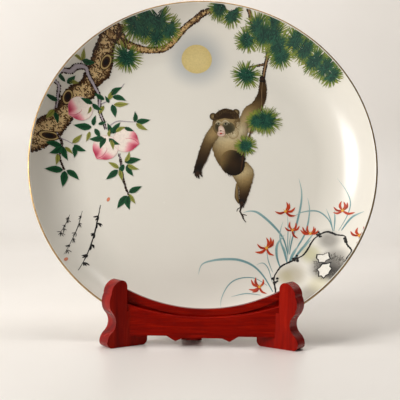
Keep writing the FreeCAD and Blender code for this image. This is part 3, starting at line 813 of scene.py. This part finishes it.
def paint_leaf(layer, veins, base, heading, length, olive):
    """Pointed leaf with a mid vein, bent a little."""
    bend = jitter(14)
    middle = step_off(base, heading + bend, length * 0.5)
    tip = step_off(base, heading, length)
    core, edge = (LEAF_OLIVE, tint(150, 150, 76)) if olive else (LEAF_DARK, LEAF_EDGE)
    half = length * (0.19 if olive else 0.22)
    widths = [0.1, half * 0.75, half, half * 0.8, half * 0.4, 0.06]
    layer.brush([base, middle, tip], widths, [core, core, edge], [edge], steps=10, across=4)
    vein = tint(84, 72, 40) if olive else tint(10, 44, 36)
    point = step_off(base, heading, length * 1.06)
    veins.brush([base, middle, point], [0.28, 0.2, 0.12], [vein], steps=8, across=1)


def paint_peach(layer, lines, centre, radius, heading):
    """Round fruit, white at the stalk and crimson at the tip, with a cleft."""
    turn = math.radians(heading)

    def reach(angle):
        away = abs((angle - turn + math.pi) % (2 * math.pi) - math.pi)
        return radius * (1 + 0.16 * max(0.0, 1 - away / 0.42) ** 1.6)

    def colour(part, angle):
        along_axis = part * math.cos(angle - turn)
        side = part * math.sin(angle - turn)
        blush = smooth(-0.25, 0.95, along_axis) * (0.55 + 0.45 * smooth(0.02, 0.35, abs(side - 0.12)))
        return mix(mix(BLUSH, PINK, smooth(0.1, 0.6, blush)), CRIMSON, smooth(0.45, 1.05, blush))

    layer.blob(centre, reach, colour, spokes=44, rings=10)
    rim = []
    for angle in range(0, 361, 12):
        rim.append(step_off(centre, heading + angle, reach(turn + math.radians(angle))))
    lines.brush(rim, [0.14], [tint(216, 158, 160)], steps=90, across=1)
    bends = ((150, 0.1), (60, 0.25), (20, 0.7), (2, 1.1))
    cleft = [step_off(centre, heading + angle, radius * part) for angle, part in bends]
    lines.brush(cleft, [0.1, 0.4, 0.5, 0.2], [tint(230, 168, 172), CRIMSON], steps=16, across=2)


def paint_peach_tree():
    twigs = Layer("peach_twigs", 0.32)
    bumps = Layer("peach_twig_bumps", 0.37)
    for points, widths in PEACH_TWIGS:
        twigs.brush(points, widths, [tint(184, 174, 182)], [TWIG], steps=34, across=3, rough=0.15)
        if max(widths) > 0.85:
            paint_edge_marks(bumps, points, widths)
    fruit = Layer("peaches", 0.40)
    outline = Layer("peach_outlines", 0.45)
    for peach in PEACHES:
        paint_peach(fruit, outline, *peach)
    leaves = Layer("peach_leaves", 0.50)
    veins = Layer("leaf_veins", 0.55)
    for leaf in LEAVES:
        paint_leaf(leaves, veins, *leaf)
    return [twigs, bumps, fruit, outline, leaves, veins]


# ---- painting: moon, monkey ------------------------------------------------------------------
def paint_moon():
    moon = Layer("moon", 0.08)
    moon.oval(MOON_PLACE, 19, 19, MOON, tint(206, 184, 122), spokes=60, rings=10, power=3)
    return [moon]


FUR_STROKE = [0.2, 0.24, 0.05]    # half widths of a hair of the coat


def shaded(stops, edge, strength):
    """Paint for a furred limb: stops run along it, edge darkens both sides."""
    def paint(t, side):
        return mix(along(stops, t), edge, strength * abs(side) ** 2.4)
    return paint


def furred(body, coat, left, right, paint, hairs, length=2.6):
    """Soft limb between two edges, with short hairs in its own colours and a ruffled outline."""
    body.band(left, right, paint, steps=30, across=10, rough=0.25)
    for _ in range(hairs):
        t = random.random()
        side = random.choice((-1, 1)) * (1 - random.random() ** 1.6 * 0.9)
        start = between(left, right, t, side)
        onward = between(left, right, min(1.0, t + 0.06), side)
        heading = math.degrees(math.atan2(onward[1] - start[1], onward[0] - start[0]))
        lean = math.degrees(math.atan2(right[0][1] - left[0][1], right[0][0] - left[0][0]))
        heading += side * 22 * (1 if math.sin(math.radians(lean - heading)) > 0 else -1) + jitter(12)
        tone = random.uniform(0.72, 1.12)
        colour = tuple(channel * tone for channel in paint(t, side))
        coat.dash(start, heading, length * random.uniform(0.5, 1.1), FUR_STROKE, colour)


def paint_hand(layer, wrist, heading, fingers):
    """Small dark hand: palm and curled fingers given by spread and length."""
    palm = step_off(wrist, heading, 2)
    layer.oval(palm, 3.6, 3.2, tint(40, 32, 24), INK, turn=math.radians(heading), spokes=14, rings=2)
    for spread, length in fingers:
        middle = step_off(palm, heading + spread, length * 0.6)
        tip = step_off(middle, heading + spread * 0.4 + 14, length * 0.45)
        layer.brush([palm, middle, tip], [1.1, 1.2, 0.9, 0.4], [UMBER, INK], steps=6, across=2)


def overlap(body, coat):
    """The next limb lies over the last."""
    for layer in (body, coat):
        layer.lift += 0.08 * MM


def paint_monkey():
    body = Layer("monkey_body", 0.44)
    coat = Layer("monkey_coat", 0.48)
    black, dark, brown = tint(26, 20, 12), tint(58, 42, 24), tint(98, 78, 48)
    tan, sand, cream = tint(150, 126, 84), tint(186, 166, 124), tint(208, 194, 158)
    furred(body, coat, [(40, 50), (50, 76), (60, 84), (67, 96), (69, 106), (70, 117)],
           [(60, 44), (65, 60), (72, 76), (77, 90), (78, 104), (76, 117)],
           shaded([sand, tan, brown, dark, tint(76, 56, 30), dark], dark, 0.5), 500)
    overlap(body, coat)
    furred(body, coat, [(20, 48), (13, 40), (11, 29), (13, 18), (18, 6), (27, -6)],
           [(54, 60), (55, 48), (51, 34), (49, 20), (48, 6), (40, -6)],
           shaded([sand, cream, sand, tan, brown, dark], brown, 0.85), 700)
    overlap(body, coat)
    furred(body, coat, [(30, -2), (37, -12), (41, -19), (44, -27), (44, -36), (44, -44)],
           [(52, 8), (60, -1), (61, -11), (58, -22), (55, -32), (51, -45)],
           shaded([tan, sand, tan, brown, dark, black], dark, 0.5), 460)
    shin = [(41, -20), (41, -30), (41, -38), (44, -45)]
    body.brush(shin, [0.8, 2.4, 2.4, 1.2], [tan, brown], [dark], steps=14, across=4)
    overlap(body, coat)
    paint_haunch(body, coat, tint(124, 100, 62), black)
    overlap(body, coat)
    furred(body, coat, [(13, 56), (6, 46), (1, 36), (-3, 25), (-7, 10), (-10, -2), (-11, -8)],
           [(23, 46), (18, 38), (13, 31), (9, 22), (5, 10), (0, 0), (-2, -8)],
           shaded([tan, tan, brown, dark, black, black], dark, 0.55), 520)
    hands = Layer("monkey_hands", 0.83)
    paint_hand(hands, (73, 113), 92, [(-34, 5), (-10, 6), (14, 6), (36, 5)])
    paint_hand(hands, (-6, -5), 262, [(-34, 6), (-8, 7), (20, 8), (62, 8)])
    paint_hand(hands, (47, 9), 60, [(-60, 4), (-10, 5), (40, 5), (100, 4)])
    paint_hand(hands, (47, -41), 268, [(-30, 5), (-6, 7), (16, 7), (34, 5)])
    return [body, coat, hands] + paint_face()


def paint_haunch(body, coat, light, dark):
    """Folded thigh: a dark rounded mass, lighter along its upper left."""
    centre = (36, 6)
    reach = ellipse(14.5, 16.5, 0.35)

    def colour(part, angle):
        lit = part * math.cos(angle - math.radians(150))
        ground = mix(dark, tint(70, 50, 28), 0.5 * (1 - part))
        return mix(ground, light, 0.9 * smooth(-0.3, 1.0, lit) ** 2.2)

    body.blob(centre, reach, colour, spokes=40, rings=12)
    for _ in range(420):
        angle = random.uniform(0, 2 * math.pi)
        part = random.random() ** 0.4
        start = step_off(centre, math.degrees(angle), reach(angle) * part)
        coat.dash(start, 285 + jitter(40), random.uniform(1.2, 2.8), FUR_STROKE,
                  tuple(c * random.uniform(0.8, 1.15) for c in colour(part, angle)))


def paint_face():
    """Head seen three quarters on, turned down to the left."""
    head = Layer("monkey_head", 0.84)
    hair = Layer("monkey_head_hair", 0.94)
    detail = Layer("monkey_features", 0.97)
    dark, brown, tan, pale = tint(44, 30, 16), tint(100, 80, 50), tint(150, 128, 88), tint(200, 186, 152)
    head.oval((12, 65), 4.4, 4.8, tan, dark, spokes=20, rings=5, power=0.8)
    head.oval((40, 71), 4.4, 4.6, tan, dark, spokes=20, rings=5, power=0.8)
    head.lift = 0.87 * MM
    head.oval((28, 57), 16.5, 18.5, tan, brown, turn=-0.5, spokes=44, rings=12, power=3)
    head.oval((37, 43), 7, 6, pale, tan, turn=0.8, spokes=24, rings=5, power=2)
    head.lift = 0.90 * MM
    cap = [(12, 60), (13, 67), (19, 73), (26, 76), (33, 75), (39, 73)]
    cap += [(44, 67), (42, 62), (34, 62), (26, 63), (18, 61)]
    head.patch(cap, dark, tint(62, 46, 26), rings=8)
    head.oval((31, 50), 8, 9, tint(58, 54, 38), tint(104, 94, 68), turn=0.5, spokes=30, rings=6, power=3)
    head.oval((17.5, 51), 3.6, 6, tint(56, 50, 34), tint(100, 88, 62), spokes=20, rings=4)
    for _ in range(420):
        angle = random.uniform(-30, 215)
        start = step_off((28, 60), angle, random.uniform(9, 15.5))
        tone = mix(dark, brown, random.random() ** 2 + (0.5 if angle < 20 else 0.0))
        hair.dash(start, angle - 30 + jitter(24), random.uniform(1.2, 2.4), [0.2, 0.05], tone)
    for _ in range(260):
        angle = random.uniform(250, 372)
        start = step_off((28, 55), angle, random.uniform(12, 16.5))
        tone = mix(pale, tan, random.random())
        hair.dash(start, angle + jitter(20), random.uniform(1.4, 2.8), [0.26, 0.05], tone)
    for place, half in (((18.8, 55.6), 2.0), ((27.4, 55.8), 2.6)):
        detail.lift = 0.97 * MM
        detail.oval(place, half, half * 0.7, tint(110, 108, 92), tint(150, 142, 116), spokes=20, rings=4,
                    power=1.6)
        detail.lift = 1.0 * MM
        detail.oval(place, half * 0.5, half * 0.5, INK, INK, spokes=14, rings=1)
        brow = [step_off(place, turn, half * reach) for turn, reach in ((176, 1.9), (98, 1.6), (10, 1.9))]
        detail.brush(brow, [0.4, 1.1, 0.4], [tint(176, 164, 134)], steps=8, across=1)
    detail.lift = 0.98 * MM
    soft = {"spokes": 24, "power": 2.4}
    detail.oval((22.6, 46.5), 3.9, 7.4, tint(224, 204, 186), tint(178, 146, 126), 0.25, rings=5, **soft)
    detail.oval((22, 43), 5.0, 4.0, tint(222, 196, 180), tint(186, 152, 134), 0.1, rings=4, **soft)
    detail.lift = 1.01 * MM
    detail.oval((21.4, 46.6), 1.2, 0.8, tint(120, 70, 56), UMBER, spokes=12, rings=1)
    detail.oval((21.8, 43), 1.8, 1.2, tint(196, 84, 76), tint(160, 76, 66), spokes=14, rings=2)
    detail.brush([(17.6, 43), (21.5, 42), (26, 43.4)], [0.15, 0.3, 0.15], [UMBER], steps=8, across=1)
    return [head, hair, detail]


PERCH = [
    # points along it, and half widths
    ([(45, -44), (46, -50), (45, -55), (48, -60), (49, -64), (52, -68)], [1.0, 1.3, 0.9, 1.2, 0.8, 0.4]),
    ([(47, -58), (51, -59), (53, -60)], [0.5, 0.5, 0.3]),
    ([(45, -50), (42, -52), (41, -55)], [0.5, 0.5, 0.3]),
]


def paint_perch():
    """Bare twig under the hanging foot."""
    perch = Layer("bare_twig", 0.24)
    for points, widths in PERCH:
        perch.brush(points, widths, [UMBER], [INK], steps=18, rough=0.35)
    return [perch]


# ---- painting: orchid and rock ---------------------------------------------------------------
ORCHID_BLADES = [
    # points from the tip to the root, and the widest half width
    ([(49, -56), (58, -54), (68, -57), (84, -71), (96, -87), (101, -106)], 1.5),
    ([(116, -12), (119, -28), (118, -44), (113, -66), (106, -90), (103, -106)], 1.2),
    ([(126, -36), (128, -53), (123, -78), (112, -98), (106, -110)], 1.0),
    ([(107, -61), (120, -54), (138, -53), (150, -64), (154, -79)], 0.9),
    ([(162, -12), (171, -28), (175, -44), (171, -60), (160, -79)], 0.6),
    ([(188, -59), (175, -64), (163, -79)], 1.2),
    ([(157, -52), (157, -64), (155, -79)], 0.8),
    ([(-4, -132), (0, -120), (12, -115), (28, -113), (45, -114), (61, -121), (73, -134), (82, -152)], 1.5),
    ([(22, -172), (23, -160), (31, -144), (43, -136), (61, -135), (76, -144)], 0.7),
    ([(34, -158), (51, -154), (68, -156)], 0.6),
    ([(64, -119), (72, -117), (78, -124), (82, -140)], 0.6),
    ([(98, -82), (89, -94), (88, -108), (92, -123)], 1.5),
    ([(91, -88), (97, -102), (100, -117)], 1.6),
    ([(113, -96), (107, -106), (102, -117)], 1.7),
    ([(129, -88), (118, -99), (106, -114)], 1.5),
    ([(134, -78), (123, -92), (110, -110)], 0.9),
    ([(96, -66), (92, -84), (97, -104), (100, -114)], 0.8),
    ([(101, -58), (102, -70), (101, -96), (101, -112)], 0.5),
    ([(105, -80), (103, -94), (101, -108)], 0.5),
    ([(76, -100), (78, -114), (83, -128)], 0.5),
    ([(148, -50), (152, -64), (154, -78)], 0.7),
]
BLOOMS = [
    # heart, size, and headings of the petals
    ((99, -54), 12, (184, 78, 62, 335, 20)), ((107, -77), 10, (160, 108, 62, 300, 30)),
    ((128, -81), 11, (140, 108, 60, 44, 20, 160)), ((166, -54), 12, (152, 96, 76, 56, 338, 190)),
    ((76, -99), 13, (160, 86, 66, 48, 204, 312)), ((180, -90), 11, (136, 96, 60, 250)),
    ((67, -146), 12, (112, 140, 196, 220, 60, 310)),
]
ROCK = [
    # outline from its left foot, over the top and down the right
    (85, -164), (85, -149), (84, -136), (88, -127), (94, -120), (108, -113), (120, -106), (129, -92),
    (135, -85), (147, -79), (158, -84), (166, -87), (167, -98), (170, -108), (164, -117), (162, -130),
]
HOLES = [
    [(134, -107), (138, -107), (141, -108), (145, -106), (148, -105), (148, -110), (149, -114), (144, -116),
     (142, -119), (138, -118), (135, -118), (135, -114), (133, -112)],
    [(139, -119), (144, -119), (149, -118), (147, -123), (149, -127), (146, -131), (144, -135), (141, -136),
     (138, -140), (136, -136), (133, -136), (134, -130), (132, -126), (136, -123)],
]
MOSS = [(85, -138), (109, -111), (139, -82), (167, -93)]


def paint_blades():
    blades = Layer("orchid_blades", 0.12)
    for points, half in ORCHID_BLADES:
        widths = [0.08, half * 0.6, half, half, half * 0.7, half * 0.35]
        deep = mix(BLADE_DEEP, BLADE, random.random() * 0.5)
        core, edge = [BLADE_TIP, BLADE, deep], [tint(170, 192, 190), BLADE]
        blades.brush(points, widths, core, edge, steps=34, across=4)
    return [blades]


def paint_blooms():
    """Slim curled petals, crimson at the root and orange at the tip."""
    petals = Layer("orchid_petals", 0.28)
    hearts = Layer("orchid_hearts", 0.36)
    for heart, size, headings in BLOOMS:
        for index, heading in enumerate(headings):
            long = size * random.uniform(0.88, 1.15)
            curl = 26 if math.cos(math.radians(heading)) > 0 else -26
            middle = step_off(heart, heading - curl * 0.6, long * 0.55)
            tip = step_off(middle, heading + curl, long * 0.52)
            tone = PETAL_DEEP if index % 3 == 0 else PETAL
            petals.brush([heart, middle, tip], [0.45, long * 0.10, long * 0.12, long * 0.08, 0.1],
                         [tone, tone, tint(184, 66, 38)], [PETAL, tint(206, 96, 52)], steps=10, across=3)
        hearts.oval(heart, size * 0.15, size * 0.13, POLLEN, tint(206, 120, 50), spokes=10, rings=2)
        for turn in (40, 80, 130):
            hearts.dash(heart, turn, size * 0.36, [0.35, 0.12], POLLEN)
    return [petals, hearts]


def paint_rock():
    """Scholar's stone: thin broken ink outline, two ragged openings and moss dots."""
    hatching = Layer("rock_hatching", 0.15)
    for _ in range(260):
        heading = random.uniform(0, 360)
        place = step_off((146, -124), heading, random.uniform(8, 17))
        tone = mix(tint(52, 50, 48), tint(120, 115, 106), random.random())
        hatching.dash(place, heading + jitter(40), random.uniform(1.2, 3.6), [0.4, 0.1], tone)
    ink = Layer("rock_ink", 0.18)
    pressure = [0.6, 1.1, 0.6, 1.2, 0.7, 0.9, 0.6, 1.3, 0.7, 1.0, 0.6, 1.1]
    ink.brush(ROCK, pressure, [INK], steps=150, across=2, rough=0.3)
    for outline in HOLES:
        ink.patch([(x + jitter(0.3), y + jitter(0.3)) for x, y in outline], INK, INK)
    openings = Layer("rock_openings", 0.24)
    inside = 0.82
    for outline in HOLES:
        cx, cy = middle_of(outline)
        openings.patch([(cx + (x - cx) * inside, cy + (y - cy) * inside) for x, y in outline], GLAZE, GLAZE)
    moss = Layer("rock_moss_dots", 0.27)
    for x, y in MOSS:
        for _ in range(9):
            size = random.uniform(0.8, 1.9)
            dot = (x + jitter(3.2), y + jitter(3.2))
            moss.oval(dot, size, size * 0.9, INK, tint(50, 48, 46), spokes=12, rings=2)
    return [hatching, ink, openings, moss]


INK_SPRIGS = [
    # points down it, and half width
    ([(-121, -50), (-124, -70), (-128, -92), (-134, -114), (-141, -134)], 0.8),
    ([(-142, -58), (-146, -78), (-152, -98), (-158, -116)], 0.4),
    ([(-156, -64), (-161, -80), (-166, -92)], 0.35),
]


def paint_sprigs():
    """Three thin sprigs of ink bamboo with two fallen petals, at the lower left."""
    sprigs = Layer("ink_bamboo", 0.15)
    for points, half in INK_SPRIGS:
        sprigs.brush(points, [half * 0.5, half, half * 0.7, half * 0.4], [INK], steps=30, rough=0.3)
        for joint in range(1, 7):
            (x, y), _ = spline(points, joint / 7 + jitter(0.03))
            lean = 236 if joint % 2 else 304
            for turn in (-30, 0, 28):
                heading = lean + turn + jitter(12)
                length = random.uniform(4.5, 9.5) * (0.5 + 0.6 * half)
                middle = step_off((x, y), heading + 10, length * 0.5)
                leaf = [(x, y), middle, step_off((x, y), heading, length)]
                sprigs.brush(leaf, [0.1, half * 1.1, half * 1.2, 0.08], [INK], steps=6, across=2)
    for place, turn in (((-112, -43), 1.2), ((-155, -122), 1.1)):
        sprigs.oval(place, 2.8, 1.8, tint(222, 138, 106), tint(204, 118, 90), turn, spokes=16, rings=3)
    return [sprigs]


# ---- rim line --------------------------------------------------------------------------------
def make_gilding():
    """Thin gilt line on the rounded rim."""
    verts, faces = turned([lip_point(degrees, LIP + GILT_LIFT) for degrees in range(45, 106, 10)])
    add_mesh("gilt_rim", verts, faces, [gilt_material()], "plate")


PAINT_SEED = 11


def paint_plate():
    """The whole decoration, from the ground up; the seed makes every run the same."""
    random.seed(PAINT_SEED)
    enamel = enamel_material()
    subjects = (
        paint_moon, paint_blades, paint_rock, paint_blooms, paint_pine, paint_peach_tree,
        paint_perch, paint_monkey, paint_held_twig, paint_sprigs,
    )
    for paint in subjects:
        for layer in paint():
            add_mesh(layer.name, layer.verts, layer.faces, [enamel], "plate", layer.colours)


# ---- the stand -------------------------------------------------------------------------------
SPLAY = math.radians(35)         # of the side panels
LEG_SLOPE = math.radians(14.5)
ALONG_BOARD = (16, 210, 210)     # grain drawn out along the board's own length
UPRIGHT = (80, 80, 9)            # and up a standing board


def dress(node, material, bevel):
    """Give a CAD node its material and eased, smooth-shaded edges."""
    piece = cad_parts[node]
    piece.data.materials.clear()
    piece.data.materials.append(material)
    piece.data.polygons.foreach_set("use_smooth", [True] * len(piece.data.polygons))
    weld = piece.modifiers.new("weld", "WELD")
    weld.merge_threshold = 2e-6
    if bevel:
        ease = piece.modifiers.new("eased_edges", "BEVEL")
        ease.width = bevel
        ease.segments = 3
        ease.limit_method = "ANGLE"
        ease.angle_limit = math.radians(32)
        ease.harden_normals = True
    even = piece.modifiers.new("even_shading", "WEIGHTED_NORMAL")
    even.keep_sharp = True
    even.weight = 90


def dress_stand():
    rail = lacquer_material("rosewood_rails", (0, 0, 0), ALONG_BOARD)
    left = lacquer_material("rosewood_left_panel", (0, 0, -SPLAY), UPRIGHT)
    right = lacquer_material("rosewood_right_panel", (0, 0, SPLAY), UPRIGHT)
    post = lacquer_material("rosewood_post", (-LEAN, 0, 0), UPRIGHT)
    leg = lacquer_material("rosewood_leg", (LEG_SLOPE, 0, 0), UPRIGHT)
    brass = brass_material()
    for node in ("front_rail", "rear_rail", "rear_stretcher", "keel", "rail_dowels", "stretcher_dowels"):
        dress(node, rail, 0.5 * MM if node.endswith("rail") else 0)
    dress("left_side_panel", left, 1.3 * MM)
    dress("right_side_panel", right, 1.3 * MM)
    dress("back_post", post, 1.0 * MM)
    dress("rear_leg", leg, 1.0 * MM)
    for node in ("leg_bracket", "bracket_screws", "pivot_pin", "pivot_washers", "keel_screws"):
        dress(node, brass, 0.2 * MM if node == "leg_bracket" else 0)
    dress("rest_pad", felt_material(), 0.6 * MM)


# ---- floor, light and camera -----------------------------------------------------------------
def floor_material():
    """Pale floor, almost plain."""
    n = Nodes("pale_floor", 0.35)
    pale = n.ramp(n.noise(n.place(), 3, 2), [(0.3, (0.80, 0.77, 0.73)), (0.7, (0.84, 0.81, 0.775))])
    n.set("Base Color", pale)
    return n.material


def make_floor():
    """A floor that curves up into a pale backdrop well behind the object."""
    depth = 1.1
    curve = 0.35
    height = 2.2
    half_width = 2.6
    front = -2.6
    steps = 16
    profile = [(front, 0.0), (depth, 0.0)]
    for step in range(1, steps + 1):
        angle = math.pi / 2 * step / steps
        profile.append((depth + curve * math.sin(angle), curve * (1 - math.cos(angle))))
    profile.append((depth + curve, height))
    verts = [(side * half_width, y, z) for y, z in profile for side in (-1, 1)]
    faces = [(2 * i, 2 * i + 1, 2 * i + 3, 2 * i + 2) for i in range(len(profile) - 1)]
    mesh = bpy.data.meshes.new("studio_floor")
    mesh.from_pydata(verts, [], faces)
    mesh.materials.append(floor_material())
    mesh.polygons.foreach_set("use_smooth", [True] * len(mesh.polygons))
    floor = bpy.data.objects.new("studio_floor", mesh)
    bpy.context.scene.collection.objects.link(floor)


def add_area_light(name, place, target, size, power, colour):
    light = bpy.data.lights.new(name, "AREA")
    light.size = size
    light.energy = power
    light.color = colour
    lamp = bpy.data.objects.new(name, light)
    lamp.location = place
    lamp.rotation_euler = (Vector(target) - Vector(place)).to_track_quat("-Z", "Y").to_euler()
    bpy.context.scene.collection.objects.link(lamp)


def light_scene():
    """A room bright on the left and dim on the right, a key light, a faint fill and a lit backdrop."""
    world = bpy.data.worlds.new("studio")
    world.use_nodes = True
    tree = world.node_tree
    background = tree.nodes["Background"]
    background.inputs["Color"].default_value = (1.0, 0.975, 0.95, 1.0)
    coordinates = tree.nodes.new("ShaderNodeTexCoord")
    split = tree.nodes.new("ShaderNodeSeparateXYZ")
    fall = tree.nodes.new("ShaderNodeMapRange")
    for socket, value in (("From Min", -1.0), ("From Max", 0.35), ("To Min", 0.85), ("To Max", 0.02)):
        fall.inputs[socket].default_value = value
    tree.links.new(coordinates.outputs["Generated"], split.inputs["Vector"])
    tree.links.new(split.outputs["X"], fall.inputs["Value"])
    tree.links.new(fall.outputs["Result"], background.inputs["Strength"])
    bpy.context.scene.world = world
    bpy.context.scene.view_settings.view_transform = "Standard"
    middle = (0, 0, 0.2)
    add_area_light("key", (-1.7, -1.2, 1.3), middle, 0.9, 40, (1.0, 0.975, 0.94))
    add_area_light("fill", (1.3, -1.7, 1.3), middle, 1.8, 0.4, (0.96, 0.97, 1.0))
    add_area_light("wall_wash", (0.2, 0.3, 2.0), (0, 1.2, 0.4), 1.2, 19, (1.0, 0.97, 0.93))


def add_camera():
    """Eye level with the plate's middle, a metre in front, tilted slightly down."""
    camera = bpy.data.cameras.new("camera")
    camera.lens = 79.0
    camera.sensor_width = 36
    camera.clip_start = 0.05
    view = bpy.data.objects.new("camera", camera)
    eye = (-0.0327, -1.0378, 0.2031)
    swing, tilt, roll = (math.radians(degrees) for degrees in (-1.63, 2.57, 1.17))
    turn = Matrix.Rotation(swing, 4, "Z") @ Matrix.Rotation(math.pi / 2 - tilt, 4, "X")
    view.matrix_world = Matrix.Translation(eye) @ turn @ Matrix.Rotation(roll, 4, "Z")
    bpy.context.scene.collection.objects.link(view)
    bpy.context.scene.camera = view


def main():
    make_plate([glaze_material(), biscuit_material()])
    make_gilding()
    paint_plate()
    dress_stand()
    make_floor()
    light_scene()
    add_camera()


main()
